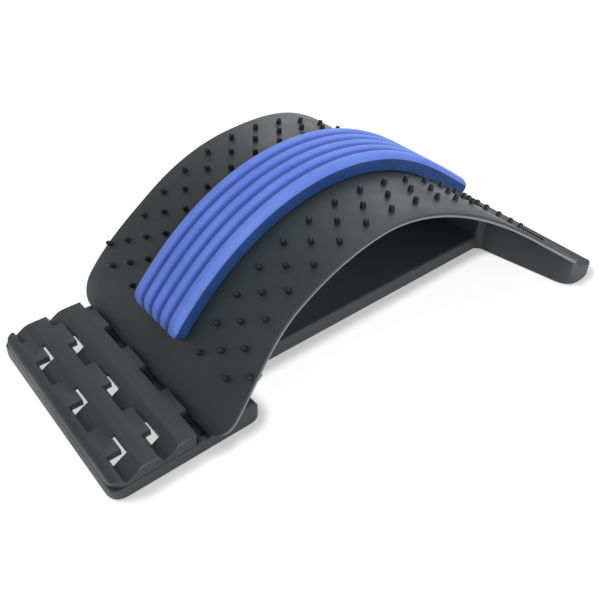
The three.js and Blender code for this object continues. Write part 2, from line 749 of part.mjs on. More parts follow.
function wingOuter() {
  const start = BASE_RIGHT - WING_DEPTH_MIDDLE - 2 * WING_FILLET;
  const tall = restHeight(start, 0);
  const side = [[start, BASE_LIFT], [start, tall], [restReach(SILL_HEIGHT), SILL_HEIGHT]];
  side.push(...leaningWall(BASE_RIGHT, WING_LEAN, SILL_HEIGHT, WING_SHOULDER, -1).reverse());
  const half = WING_WIDTH / 2;
  const lean = half - WING_LEAN;
  const end = [[-half, BASE_LIFT], [-lean, SILL_HEIGHT], [-lean, tall]];
  end.push([lean, tall], [lean, SILL_HEIGHT], [half, BASE_LIFT]);
  return upZ(wingCorners(0), BASE_LIFT, tall)
    .intersect(acrossY(side, -half, half))
    .intersect(alongX(end, start, BASE_RIGHT));
}

function wingHollow() {
  const start = BASE_RIGHT - WING_DEPTH_MIDDLE - 2 * WING_FILLET;
  const floor = BASE_LIFT - OVERRUN;
  const tall = restHeight(start, WING_ROOF);
  const crossing = HINGE_X - TAB_REACH - KNUCKLE_RADIUS - BASE_WALL;
  const short = restHeight(crossing, WING_ROOF);
  const side = [[start, floor], [start, tall], [crossing, short], [crossing, floor]];
  const half = WING_WIDTH / 2 - WING_LEAN - BASE_WALL;
  return upZ(wingCorners(BASE_WALL), floor, tall).intersect(acrossY(side, -half, half));
}

// Hollows under the sill, beside and between the sockets
function sillHollows() {
  const floor = BASE_LIFT - OVERRUN;
  const left = HINGE_X - TAB_REACH - KNUCKLE_RADIUS;
  const right = BASE_RIGHT - WING_LEAN - BASE_WALL;
  const clear = TAB_WIDTH / 2 + SOCKET_SIDE_GAP + BASE_WALL;
  return [-1, 1].map((side) => {
    const edges = [side * clear, side * (TAB_PITCH - clear)].sort((a, b) => a - b);
    return box(left, right, edges[0], edges[1], floor, SILL_HEIGHT - BASE_WALL);
  });
}

function baseHollows() {
  const waistHalf = WAIST_WIDTH / 2 - BASE_WALL;
  const trayHalf = TRAY_WIDTH / 2 - BASE_WALL;
  const inset = BASE_WALL + TRAY_LEAN;
  const trayEnd = TRAY_RIGHT - inset;
  const floor = BASE_LIFT - OVERRUN;
  const afterRack = RACK_RIGHT + RACK_FIT_GAP + BASE_WALL;
  const trayHollow = box(afterRack, trayEnd, -trayHalf, trayHalf, floor, TRAY_HEIGHT - BASE_WALL);
  const trayPlan = upZ(trayCorners(inset), floor, TRAY_HEIGHT);
  const waistTop = WAIST_HEIGHT - BASE_WALL;
  const waistRight = BASE_RIGHT - WING_DEPTH_MIDDLE;
  return [
    trayHollow.intersect(trayPlan),
    box(TRAY_RIGHT - TRAY_LEAN, waistRight, -waistHalf, waistHalf, floor, waistTop),
    wingHollow(),
    ...sillHollows(),
  ];
}

function baseRibs() {
  const waistHalf = WAIST_WIDTH / 2 - BASE_WALL / 2;
  const ribTop = WAIST_HEIGHT - BASE_WALL / 2;
  const from = TRAY_RIGHT;
  const to = BASE_RIGHT - WING_DEPTH_MIDDLE - WING_FILLET;
  return evenArcs(from, to, RIB_COUNT).map((x) => {
    return box(x, x + RIB_THICKNESS, -waistHalf, waistHalf, BASE_LIFT, ribTop);
  });
}

// Room in the tray's side rims for the end of the board
function boardRelief() {
  const arcs = evenArcs(RACK_ARC - OVERRUN, RACK_ARC + TRAY_WIDTH / 4, CORNER_STEPS);
  const under = -(BOARD_THICKNESS + BOARD_END_GAP);
  const room = bentPlate(arcs, () => -TRAY_WIDTH, () => TRAY_WIDTH, under, TRAY_WIDTH / 4);
  const over = box(LAST_EDGE_X, TRAY_RIGHT, -TRAY_WIDTH, TRAY_WIDTH, RIM_HEIGHT, CREST_HEIGHT);
  return room.intersect(over);
}

function baseFrame() {
  const outer = joinAll([trayOuter(), waistOuter(), wingOuter()]);
  const hollow = cutAll(outer, baseHollows());
  const footBosses = footPlaces.slice(2).map(({ x, y }) => {
    return post(x, y, BASE_LIFT, TRAY_HEIGHT, FOOT_BOSS_RADIUS).intersect(outer);
  });
  const body = joinAll([hollow].concat(baseRibs(), footBosses));
  const rackHalf = RACK_WIDTH / 2 + RACK_FIT_GAP;
  const rackLeft = RACK_LIP_X - RACK_FIT_GAP;
  const rackRight = RACK_RIGHT + RACK_FIT_GAP;
  const high = TRAY_HEIGHT + OVERRUN;
  const pocket = box(rackLeft, rackRight, -rackHalf, rackHalf, RACK_SEAT, high);
  const flangeLeft = BASE_LEFT - OVERRUN;
  const flangeRight = LAST_EDGE_X + RACK_FIT_GAP;
  const flangeRoom = box(flangeLeft, flangeRight, -TRAY_WIDTH, TRAY_WIDTH, RIM_HEIGHT, high);
  const windowHalf = rackHalf - LEDGE_WIDTH;
  const barIn = (SCREW_PITCH_Y - BAR_WIDTH) / 2;
  const barOut = (SCREW_PITCH_Y + BAR_WIDTH) / 2;
  const windows = [[-windowHalf, -barOut], [-barIn, barIn], [barOut, windowHalf]].map(([low, top]) => {
    return box(rackLeft + LEDGE_WIDTH, rackRight - LEDGE_WIDTH, low, top, -OVERRUN, high);
  });
  const headTop = BASE_LIFT + SCREW_GAP + SCREW_HEAD_HEIGHT;
  const screwHoles = screwPlaces.flatMap(({ x, y }) => [
    post(x, y, -OVERRUN, high, SCREW_RADIUS + SCREW_GAP),
    post(x, y, -OVERRUN, headTop, SCREW_HEAD_RADIUS + SCREW_GAP),
  ]);
  const sockets = tabRows.map((y) => {
    const reach = TAB_WIDTH / 2 + SOCKET_SIDE_GAP;
    const wide = KNUCKLE_RADIUS + SOCKET_GAP;
    const low = HINGE_HEIGHT - wide;
    return box(HINGE_X - TAB_REACH - wide, HINGE_X + wide, y - reach, y + reach, low, RIDGE_HEIGHT);
  });
  const recesses = footPlaces.map(({ x, y }) => post(x, y, -OVERRUN, FOOT_HEIGHT, FOOT_RADIUS + FOOT_GAP));
  const rooms = [pocket, flangeRoom, boardRelief()];
  return cutAll(body, rooms.concat(windows, screwHoles, sockets, recesses));
}

// Foam pad: five lengthwise ribs over a flat back, with soft edges and ends
function padHalfWidth(toEnd) {
  return PAD_WIDTH / 2 - cornerLoss(toEnd, PAD_CORNER);
}

function padHeight(share, toEnd) {
  const inside = (1 - Math.abs(share)) * (PAD_WIDTH / 2);
  const edge = cornerLoss(inside, PAD_EDGE);
  const end = PAD_END_DROP * (cornerLoss(toEnd, PAD_CORNER) / PAD_CORNER);
  const wave = Math.abs(Math.cos((share * PAD_RIBS * Math.PI) / 2 + ((PAD_RIBS - 1) * Math.PI) / 2));
  return PAD_THICKNESS - edge - end - PAD_GROOVE * (1 - Math.sqrt(wave));
}

function foamPad() {
  const start = -PAD_ARC / 2;
  const end = PAD_ARC / 2;
  const arcs = cornerArcs(start, PAD_CORNER, 1)
    .concat(bendArcs(start + PAD_CORNER, end - PAD_CORNER).slice(1, -1))
    .concat(cornerArcs(end, PAD_CORNER, -1).reverse());
  const back = PAD_GAP * 2 + ADHESIVE_THICKNESS;
  const across = PAD_RIBS * PAD_RIB_STEPS;
  const positions = [];
  const indices = [];
  arcs.forEach((arc) => {
    const toEnd = Math.min(arc - start, end - arc);
    const half = padHalfWidth(toEnd);
    for (let i = 0; i <= across; i += 1) {
      const share = (2 * i) / across - 1;
      const top = boardPoint(arc, back + padHeight(share, toEnd));
      positions.push(top.x, share * half, top.z);
    }
    const under = boardPoint(arc, back);
    positions.push(under.x, half, under.z, under.x, -half, under.z);
  });
  const ring = across + 3;
  for (let i = 0; i + 1 < arcs.length; i += 1) {
    for (let j = 0; j < ring; j += 1) {
      const a = i * ring + j;
      const b = i * ring + ((j + 1) % ring);
      indices.push(a, a + ring, b, b, a + ring, b + ring);
    }
  }
  const last = (arcs.length - 1) * ring;
  for (let j = 0; j < across; j += 1) {
    indices.push(ring - 1, j, j + 1);
    indices.push(last + ring - 1, last + j + 1, last + j);
  }
  indices.push(ring - 1, across, across + 1);
  indices.push(last + ring - 1, last + across + 1, last + across);
  const geometry = new THREE.BufferGeometry();
  geometry.setAttribute('position', new THREE.Float32BufferAttribute(positions, 3));
  geometry.setIndex(indices);
  return solidFrom(geometry);
}

function padAdhesive() {
  const start = -PAD_ARC / 2 + ADHESIVE_MARGIN;
  const end = PAD_ARC / 2 - ADHESIVE_MARGIN;
  const half = PAD_WIDTH / 2 - ADHESIVE_MARGIN - PAD_EDGE;
  return bentPlate(
    bendArcs(start, end),
    () => -half,
    () => half,
    PAD_GAP,
    PAD_GAP + ADHESIVE_THICKNESS,
  );
}

// Screw, driven up from under the base
function screw({ x, y }) {
  const head = BASE_LIFT + SCREW_GAP;
  const profile = [
    [0, head],
    [SCREW_HEAD_RADIUS, head],
    [SCREW_HEAD_RADIUS, head + SCREW_HEAD_HEIGHT],
    [SCREW_RADIUS, head + SCREW_HEAD_HEIGHT],
    [SCREW_RADIUS, screwTop],
    [0, screwTop],
  ];
  const geometry = new THREE.LatheGeometry(profile.map(([r, z]) => new THREE.Vector2(r, z)), CIRCLE_SIDES);
  geometry.rotateX(Math.PI / 2);
  geometry.translate(x, y, 0);
  return solidFrom(geometry);
}

const group = new THREE.Group();
addPart(group, 'base_frame', baseFrame(), baseMaterial);
addPart(group, 'level_rack', levelRack(), baseMaterial);
addPart(group, 'arch_board', archBoard(), boardMaterial);
addPart(group, 'pad_adhesive', padAdhesive(), adhesiveMaterial);
addPart(group, 'foam_pad', foamPad(), foamMaterial);
stripPlans.forEach((plan) => {
  addPart(group, `nub_strip_${plan.name}_left`, nubStrip(plan, 1), nubMaterial);
  addPart(group, `nub_strip_${plan.name}_right`, nubStrip(plan, -1), nubMaterial);
});
screwPlaces.forEach((place, i) => {
  addPart(group, `rack_screw_${i + 1}`, screw(place), steelMaterial);
});
footPlaces.forEach(({ name, x, y }) => {
  addPart(group, `foot_${name}`, post(x, y, 0, FOOT_HEIGHT, FOOT_RADIUS), rubberMaterial);
});

export default group;
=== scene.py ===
# A lower back massager: a bowed board with pressure nubs and a ribbed foam pad, on its
# slotted base. Metres, +X along the length to the hinged end, +Y across, +Z up.
import math

import bpy
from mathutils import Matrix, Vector


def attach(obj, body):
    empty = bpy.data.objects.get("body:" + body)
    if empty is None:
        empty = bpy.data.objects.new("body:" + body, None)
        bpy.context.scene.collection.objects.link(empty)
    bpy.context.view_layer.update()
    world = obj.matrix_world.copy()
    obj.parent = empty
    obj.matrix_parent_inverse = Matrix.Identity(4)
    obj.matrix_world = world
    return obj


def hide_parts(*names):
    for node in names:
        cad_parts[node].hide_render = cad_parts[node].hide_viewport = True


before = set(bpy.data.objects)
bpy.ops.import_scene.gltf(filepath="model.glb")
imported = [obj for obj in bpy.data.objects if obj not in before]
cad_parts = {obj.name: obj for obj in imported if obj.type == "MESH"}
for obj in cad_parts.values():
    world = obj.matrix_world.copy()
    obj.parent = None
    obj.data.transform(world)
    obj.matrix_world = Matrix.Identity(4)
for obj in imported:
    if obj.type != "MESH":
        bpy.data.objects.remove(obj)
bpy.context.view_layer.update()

# The board's curve, as arc lengths from its highest point
CREST_X = 0.009764
CREST_HEIGHT = 0.1015
RACK_END_ANGLE = math.radians(52.988)
RACK_BEND_ARC = 0.181
SOCKET_END_ANGLE = math.radians(36.515)
SOCKET_BEND_ARC = 0.120
SOCKET_ARC = 0.188966
BOARD_END_X = -0.1322
BOARD_THICKNESS = 0.003
BOARD_EDGE = 0.0007
# The board's upper layer is this thick; below it the long edges carry a painted highlight
RIM_LINE = 0.0016
BOARD_NARROW = 0.1625
BOARD_RACK_WIDTH = 0.178
BOARD_SOCKET_WIDTH = 0.233
RACK_FLARE = (0.085, 0.075)
SOCKET_FLARE = (-0.015, 0.170)
RACK_CORNER = 0.017
SOCKET_CORNER = 0.016

# Tongues, tabs and nubs
TONGUE_ROWS = (-0.05345, -0.00545, 0.04255)
TONGUE_THICKNESS = 0.0014
TONGUE_WIDTH = 0.0155
TONGUE_FOOT = 0.002
TONGUE_TOP = 0.0092
TAB_ROWS = (-0.062, 0.0, 0.062)
TAB_WIDTH = 0.024
TAB_ROOT = 0.004
TAB_REACH = 0.0115
KNUCKLE_RADIUS = 0.0024
NUB_PITCH = 0.02058
NUB_COLUMN_PITCH = 0.014
FIRST_COLUMN_Y = 0.041
FIRST_NUB_ARC = -0.1416
NUB_RADIUS = 0.0019
NUB_COLLAR = 0.001
NUB_STEPS = ((0.0010, 0.94), (0.0010, 0.92), (0.0007, 0.9), (0.0003, 0.85), (0.0001, 0.6))
STRIP_WIDTH = 0.009
STRIP_THICKNESS = 0.0014
STRIP_TOP = -0.0033
STRIP_MARGIN = 0.005
ARM_MARGIN = 0.0022

# Rounded ends of the base's wing: where the ends and their tips begin, the height that their
# rims lie over, and how round they are
WING_END_Y = 0.1
WING_TIP_X = 0.186
WING_RIM_HEIGHT = 0.004
WING_END_ROUND = 0.0035
WING_TIP_ROUND = 0.0018

# Copies of solids: how near points are merged, how flat a joined face is, and edge rounding
MERGE_DISTANCE = 0.00001
FLAT_ANGLE = math.radians(0.6)
BASE_EDGE = 0.0007
RACK_EDGE = 0.0006
GLUE_EDGE = 0.0001
SCREW_EDGE = 0.0003
FOOT_EDGE = 0.0004

# Foam pad
PAD_WIDTH = 0.050
PAD_ARC = 0.291
PAD_THICKNESS = 0.012
PAD_BACK = 0.0009
PAD_RIBS = 5
PAD_GROOVE = 0.0021
PAD_GROOVE_POWER = 1.3
PAD_GROOVE_LEAD = 0.002
PAD_GROOVE_FADE = 0.005
PAD_CORNER = 0.006
PAD_EDGE = 0.004
PAD_END_DROP = 0.0085
PAD_END_ROUND = 0.013
PAD_COLUMNS_PER_RIB = 12

# The floor's narrow painted shadow: how far it reaches, and the way that it looks for what casts
# it
SHADE_REACH = 0.016
SHADE_LEAN = (-0.6, 0.7, 0.4)

# The floor below the rack: its bounds, where the painted patch of light below its slots ends,
# and how bright that painted light is
UNDER_RACK_START = -0.19
UNDER_RACK_END = -0.115
UNDER_RACK_SIDE = 0.072
UNDER_SLOTS_END = -0.143
UNDER_SLOTS_PAINTED_LIGHT = 0.62

# Lengths of the steps that curved sheets are drawn in
BOARD_PITCH = 0.005
STRIP_PITCH = 0.006
PAD_PITCH = 0.003

# The straight line that flat pieces lie along before they are bent: its zero is this arc
LINE_START = -0.205
LINE_END = 0.215


def eased(share):
    """Rises from 0 to 1 and levels off."""
    held = min(share, 1.0)
    return (3 * held - held ** 3) / 2


def board_angle(arc):
    """The slope of the board at an arc length from its highest point."""
    if arc < 0:
        return RACK_END_ANGLE * eased(-arc / RACK_BEND_ARC)
    return -SOCKET_END_ANGLE * eased(arc / SOCKET_BEND_ARC)


def board_point(arc, over=0.0):
    """A point on the board's curve, or over it, as x and z."""
    steps = 60
    step = arc / steps
    x, z = CREST_X, CREST_HEIGHT
    for i in range(steps):
        angle = board_angle((i + 0.5) * step)
        x += math.cos(angle) * step
        z += math.sin(angle) * step
    angle = board_angle(arc)
    return x - math.sin(angle) * over, z + math.cos(angle) * over


def rack_arc():
    """The arc length at which the board's rack end comes to its place."""
    low, high = -2 * RACK_BEND_ARC, 0.0
    for _ in range(40):
        middle = (low + high) / 2
        if board_point(middle)[0] < BOARD_END_X:
            low = middle
        else:
            high = middle
    return high


RACK_ARC = rack_arc()


def smooth(share):
    """Goes from 0 to 1, slowly at both ends."""
    held = min(max(share, 0.0), 1.0)
    return held * held * (3 - 2 * held)


def corner_loss(to_end, radius):
    """What a round corner takes off a width at a distance from the end."""
    inside = min(max(radius - to_end, 0.0), radius)
    return radius - math.sqrt(radius * radius - inside * inside)


def board_half_width(arc):
    """Half the board's width at an arc length, with its round corners."""
    to_rack = smooth((-arc - RACK_FLARE[0]) / RACK_FLARE[1])
    to_socket = smooth((arc - SOCKET_FLARE[0]) / SOCKET_FLARE[1])
    half = BOARD_NARROW / 2
    half += (BOARD_RACK_WIDTH - BOARD_NARROW) / 2 * to_rack
    half += (BOARD_SOCKET_WIDTH - BOARD_NARROW) / 2 * to_socket
    rack_loss = corner_loss(arc - RACK_ARC, RACK_CORNER)
    socket_loss = corner_loss(SOCKET_ARC - arc, SOCKET_CORNER)
    return half - (rack_loss + socket_loss)


# Work on one piece at a time
def only(piece):
    bpy.ops.object.select_all(action='DESELECT')
    piece.select_set(True)
    bpy.context.view_layer.objects.active = piece


def edit(piece, mode='VERT'):
    only(piece)
    bpy.ops.object.mode_set(mode='EDIT')
    bpy.ops.mesh.select_mode(type=mode)


def done():
    bpy.ops.object.mode_set(mode='OBJECT')


def pick(piece, wanted, mode='VERT'):
    """Selects the points or faces of a piece in edit mode that are wanted."""
    bpy.ops.mesh.select_mode(type='VERT')
    bpy.ops.mesh.select_all(action='DESELECT')
    bpy.ops.object.mode_set(mode='OBJECT')
    mesh = piece.data
    if mode == 'VERT':
        for vertex in mesh.vertices:
            vertex.select = bool(wanted(vertex.co))
    else:
        for face in mesh.polygons:
            face.select = bool(wanted(face.center, face.normal))
    bpy.ops.object.mode_set(mode='EDIT')
    bpy.ops.mesh.select_mode(type=mode)


def apply(piece, modifier):
    only(piece)
    bpy.ops.object.modifier_apply(modifier=modifier.name)


def settle(piece):
    """Puts a finished piece at the origin, unturned and unscaled."""
    only(piece)
    bpy.ops.object.transform_apply(location=True, rotation=True, scale=True)


def join(pieces, name):
    only(pieces[0])
    for piece in pieces[1:]:
        piece.select_set(True)
    bpy.ops.object.join()
    pieces[0].name = name
    pieces[0].data.name = name
    return pieces[0]


def round_edges(piece, width, segments=3, angle=35):
    bevel = piece.modifiers.new('edge rounding', 'BEVEL')
    bevel.width = width
    bevel.segments = segments
    bevel.limit_method = 'ANGLE'
    bevel.angle_limit = math.radians(angle)
    bevel.use_clamp_overlap = True
    apply(piece, bevel)


def shade(piece, angle=40):
    only(piece)
    bpy.ops.object.shade_smooth_by_angle(angle=math.radians(angle))


# The board, its strips and its pad are bent along one line
def board_line():
    count = 141
    data = bpy.data.curves.new('board_line', 'CURVE')
    data.dimensions = '3D'
    data.twist_mode = 'Z_UP'
    spline = data.splines.new('POLY')
    spline.points.add(count - 1)
    for i in range(count):
        x, z = board_point(LINE_START + (LINE_END - LINE_START) * i / (count - 1))
        spline.points[i].co = (x, 0, z, 1)
    line = bpy.data.objects.new('board_line', data)
    bpy.context.scene.collection.objects.link(line)
    return line


line = board_line()


def lay_on_board(piece):
    """Bends a piece that was made flat, with arc lengths along X, onto the board's curve."""
    bend = piece.modifiers.new('board curve', 'CURVE')
    bend.object = line
    bend.deform_axis = 'POS_X'
    apply(piece, bend)


def on_line(arc):
    return arc - LINE_START


def drawn_sheet(name, arcs, half_width, columns, height=0.0, middle=0.0):
    """A flat sheet drawn out edge by edge, with its own width at each arc."""
    bpy.ops.object.select_all(action='DESELECT')
    bpy.ops.mesh.primitive_grid_add(x_subdivisions=1, y_subdivisions=columns, size=1)
    piece = bpy.context.object
    piece.name = name
    edit(piece)
    pick(piece, lambda place: place.x > 0)
    bpy.ops.mesh.delete(type='VERT')
    bpy.ops.mesh.select_all(action='SELECT')
    width = 2 * half_width(arcs[0])
    bpy.ops.transform.resize(value=(1, width, 1), center_override=(0, 0, 0))
    bpy.ops.transform.translate(value=(on_line(arcs[0]) + 0.5, middle, height))
    for before, arc in zip(arcs, arcs[1:]):
        bpy.ops.mesh.extrude_edges_move(TRANSFORM_OT_translate={'value': (arc - before, 0, 0)})
        grown = half_width(arc) / half_width(before)
        bpy.ops.transform.resize(value=(1, grown, 1),
                                 center_override=(on_line(arc), middle, height))
    bpy.ops.mesh.select_all(action='SELECT')
    bpy.ops.mesh.normals_make_consistent(inside=False)
    done()
    if piece.data.polygons[0].normal.z < 0:
        edit(piece)
        bpy.ops.mesh.select_all(action='SELECT')
        bpy.ops.mesh.flip_normals()
        done()
    return piece


def thicken(piece, thickness):
    """Gives a sheet its thickness, on its lower side."""
    wall = piece.modifiers.new('thickness', 'SOLIDIFY')
    wall.thickness = thickness
    wall.offset = -1.0
    wall.use_even_offset = True
    apply(piece, wall)


def even_arcs(start, end, pitch):
    count = max(2, round((end - start) / pitch))
    return [start + (end - start) * i / count for i in range(count + 1)]


def corner_arcs(end, radius, side, steps=8):
    """Arc lengths that lie closer together towards a sheet's rounded end."""
    quarter = math.pi / 2
    arcs = [end + side * radius * (1 - math.cos(i / steps * quarter)) for i in range(steps + 1)]
    return arcs if side > 0 else arcs[::-1]


def cleaned_copy(node, name):
    """A copy of a solid, its points merged and its flat faces joined."""
    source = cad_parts[node]
    piece = bpy.data.objects.new(name, source.data.copy())
    bpy.context.scene.collection.objects.link(piece)
    piece.data.name = name
    piece.data.materials.clear()
    edit(piece)
    bpy.ops.mesh.select_all(action='SELECT')
    bpy.ops.mesh.remove_doubles(threshold=MERGE_DISTANCE)
    bpy.ops.mesh.dissolve_limited(angle_limit=FLAT_ANGLE, use_dissolve_boundaries=False)
    done()
    return piece


def dressed_copy(node, name, width, segments=3):
    piece = cleaned_copy(node, name)
    round_edges(piece, width, segments)
    shade(piece)
    return piece


def round_wing_ends(piece, first_x, last_x, reach):
    """Rounds the upper rim of the wing's two ends over between two places along the part."""
    mesh = piece.data
    normals = {}
    for face in mesh.polygons:
        for key in face.edge_keys:
            normals.setdefault(key, []).append(face.normal.z)
    rims = set()
    for edge in mesh.edges:
        ends = [mesh.vertices[i].co for i in edge.vertices]
        beside = normals.get(tuple(sorted(edge.vertices)), [])
        far_out = min(abs(place.y) for place in ends) > WING_END_Y
        high_up = min(place.z for place in ends) > WING_RIM_HEIGHT
        between = first_x < max(place.x for place in ends) < last_x
        if not (far_out and high_up and between and len(beside) == 2):
            continue
        if -0.1 < min(beside) < 0.5 and max(beside) > 0.7:
            rims.add(edge.index)
    edit(piece, 'EDGE')
    bpy.ops.mesh.select_all(action='DESELECT')
    done()
    for index in rims:
        mesh.edges[index].select = True
    edit(piece, 'EDGE')
    bpy.ops.mesh.bevel(offset=reach, segments=4, affect='EDGES', clamp_overlap=True)
    done()


# Finishes
def new_finish(name):
    finish = bpy.data.materials.new(name)
    finish.use_nodes = True
    tree = finish.node_tree
    shader = tree.nodes['Principled BSDF']
    place = tree.nodes.new('ShaderNodeTexCoord')
    return finish, tree, shader, place


def grain(tree, place, scale, detail=3.0):
    node = tree.nodes.new('ShaderNodeTexNoise')
    node.inputs['Scale'].default_value = scale
    node.inputs['Detail'].default_value = detail
    node.inputs['Roughness'].default_value = 0.5
    tree.links.new(place.outputs['Object'], node.inputs['Vector'])
    return node


def spread(tree, source, low, high, from_low=0.3, from_high=0.7):
    """Takes a value from one span to another."""
    node = tree.nodes.new('ShaderNodeMapRange')
    node.inputs['From Min'].default_value = from_low
    node.inputs['From Max'].default_value = from_high
    node.inputs['To Min'].default_value = low
    node.inputs['To Max'].default_value = high
    tree.links.new(source, node.inputs['Value'])
    return node.outputs['Result']


def two_tone(tree, source, dark, light):
    node = tree.nodes.new('ShaderNodeValToRGB')
    node.color_ramp.elements[0].position = 0.3
    node.color_ramp.elements[0].color = (*dark, 1)
    node.color_ramp.elements[1].position = 0.7
    node.color_ramp.elements[1].color = (*light, 1)
    tree.links.new(source, node.inputs['Fac'])
    return node.outputs['Color']


def relief(tree, shader, source, distance, strength):
    node = tree.nodes.new('ShaderNodeBump')
    node.inputs['Strength'].default_value = strength
    node.inputs['Distance'].default_value = distance
    tree.links.new(source, node.inputs['Height'])
    tree.links.new(node.outputs['Normal'], shader.inputs['Normal'])


def moulded_plastic(name, dark, light, roughness, fine=900.0, bump=0.00006):
    """Satin moulded plastic: a fine sparked grain, faint flow tones and uneven sheen."""
    finish, tree, shader, place = new_finish(name)
    flow = grain(tree, place, 9.0, 2.0)
    tree.links.new(two_tone(tree, flow.outputs['Fac'], dark, light), shader.inputs['Base Color'])
    patches = grain(tree, place, 45.0, 4.0)
    sheen = spread(tree, patches.outputs['Fac'], *roughness)
    tree.links.new(sheen, shader.inputs['Roughness'])
    shader.inputs['Specular IOR Level'].default_value = 0.4
    relief(tree, shader, grain(tree, place, fine, 2.0).outputs['Fac'], bump, 0.35)
    return finish


def linear(red, green, blue):
    """The light values of a colour written as it shows on a screen."""
    values = [channel / 255 for channel in (red, green, blue)]
    return tuple(v / 12.92 if v <= 0.04045 else ((v + 0.055) / 1.055) ** 2.4 for v in values)


board_plastic = moulded_plastic('board_plastic', dark=linear(43, 49, 50),
                                light=linear(51, 57, 59), roughness=(0.42, 0.55))
# A paler grey for the lower half of the board's long edges: a painted highlight, not the
# plastic's own colour
rim_painted_highlight = moulded_plastic('rim_painted_highlight', dark=linear(112, 115, 118),
                              light=linear(126, 129, 132), roughness=(0.35, 0.5))
base_plastic = moulded_plastic('base_plastic', dark=linear(48, 52, 55),
                               light=linear(55, 59, 62), roughness=(0.41, 0.47))
rack_plastic = moulded_plastic('rack_plastic', dark=linear(42, 48, 50),
                               light=linear(50, 56, 58), roughness=(0.36, 0.5))
nub_plastic = moulded_plastic('nub_plastic', dark=linear(22, 24, 26),
                              light=linear(29, 32, 34), roughness=(0.4, 0.55))
foot_rubber = moulded_plastic('foot_rubber', dark=linear(24, 24, 24),
                              light=linear(32, 32, 32), roughness=(0.8, 0.95),
                              fine=600.0, bump=0.0001)


def pad_foam(name, dark, light, groove_shade, sheen):
    """Closed-cell foam: fine open cells on the skin, soft sheen, and painted shade that darkens
    the grooves by their depth.
    """
    finish, tree, shader, place = new_finish(name)
    dye = grain(tree, place, 25.0, 3.0)
    tone = two_tone(tree, dye.outputs['Fac'], dark, light)
    depth = tree.nodes.new('ShaderNodeAttribute')
    depth.attribute_name = 'groove_depth'
    shaded_grooves = tree.nodes.new('ShaderNodeMix')
    shaded_grooves.data_type = 'RGBA'
    tree.links.new(spread(tree, depth.outputs['Fac'], 0.0, 1.0, 0.25, 0.95), shaded_grooves.inputs[0])
    tree.links.new(tone, shaded_grooves.inputs[6])
    shaded_grooves.inputs[7].default_value = (*groove_shade, 1)
    tree.links.new(shaded_grooves.outputs[2], shader.inputs['Base Color'])
    worn = grain(tree, place, 120.0, 3.0)
    tree.links.new(spread(tree, worn.outputs['Fac'], 0.55, 0.75), shader.inputs['Roughness'])
    shader.inputs['Specular IOR Level'].default_value = 0.3
    shader.inputs['Sheen Weight'].default_value = sheen
    shader.inputs['Sheen Roughness'].default_value = 0.4
    shader.inputs['Sheen Tint'].default_value = (0.75, 0.8, 1, 1)
    cells = tree.nodes.new('ShaderNodeTexVoronoi')
    cells.inputs['Scale'].default_value = 1400.0
    tree.links.new(place.outputs['Object'], cells.inputs['Vector'])
    relief(tree, shader, cells.outputs['Distance'], 0.00012, 0.4)
    return finish


def sheet_adhesive():
    finish, tree, shader, place = new_finish('sheet_adhesive')
    flow = grain(tree, place, 60.0, 4.0)
    tone = two_tone(tree, flow.outputs['Fac'], linear(196, 194, 184), linear(214, 212, 204))
    tree.links.new(tone, shader.inputs['Base Color'])
    tree.links.new(spread(tree, flow.outputs['Fac'], 0.5, 0.7), shader.inputs['Roughness'])
    relief(tree, shader, flow.outputs['Fac'], 0.0001, 0.4)
    return finish


def plated_steel():
    finish, tree, shader, place = new_finish('plated_steel')
    flow = grain(tree, place, 400.0, 3.0)
    tone = two_tone(tree, flow.outputs['Fac'], linear(168, 170, 172), linear(186, 187, 188))
    tree.links.new(tone, shader.inputs['Base Color'])
    shader.inputs['Metallic'].default_value = 1.0
    tree.links.new(spread(tree, flow.outputs['Fac'], 0.28, 0.42), shader.inputs['Roughness'])
    relief(tree, shader, flow.outputs['Fac'], 0.00003, 0.3)
    return finish


foam = pad_foam('pad_foam', dark=linear(92, 122, 212), light=linear(106, 136, 222),
                groove_shade=linear(50, 80, 172), sheen=0.2)
# The pad's sides take a darker blue: painted shade, standing in for the lesser light that falls
# on them
side_shade_foam = pad_foam('pad_side_painted_shade', dark=linear(20, 56, 112), light=linear(30, 66, 124),
                    groove_shade=linear(20, 56, 112), sheen=0.05)
adhesive = sheet_adhesive()
steel = plated_steel()


def finish_piece(piece, finish, slot, body, *nodes):
    """Gives a piece its finish if it has none, hangs it on its body and hides the nodes that it
    takes the place of.
    """
    if not piece.data.materials:
        piece.data.materials.append(finish)
    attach(piece, body)
    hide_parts(*nodes)


# Base and rack
base = cleaned_copy('base_frame', 'base_moulding')
round_wing_ends(base, 0.0, WING_TIP_X, WING_END_ROUND)
round_wing_ends(base, WING_TIP_X, math.inf, WING_TIP_ROUND)
round_edges(base, BASE_EDGE)
shade(base, 48)
finish_piece(base, base_plastic, 'base_plastic', 'base', 'base_frame')
rack = dressed_copy('level_rack', 'rack_moulding', RACK_EDGE)
finish_piece(rack, rack_plastic, 'rack_plastic', 'base', 'level_rack')


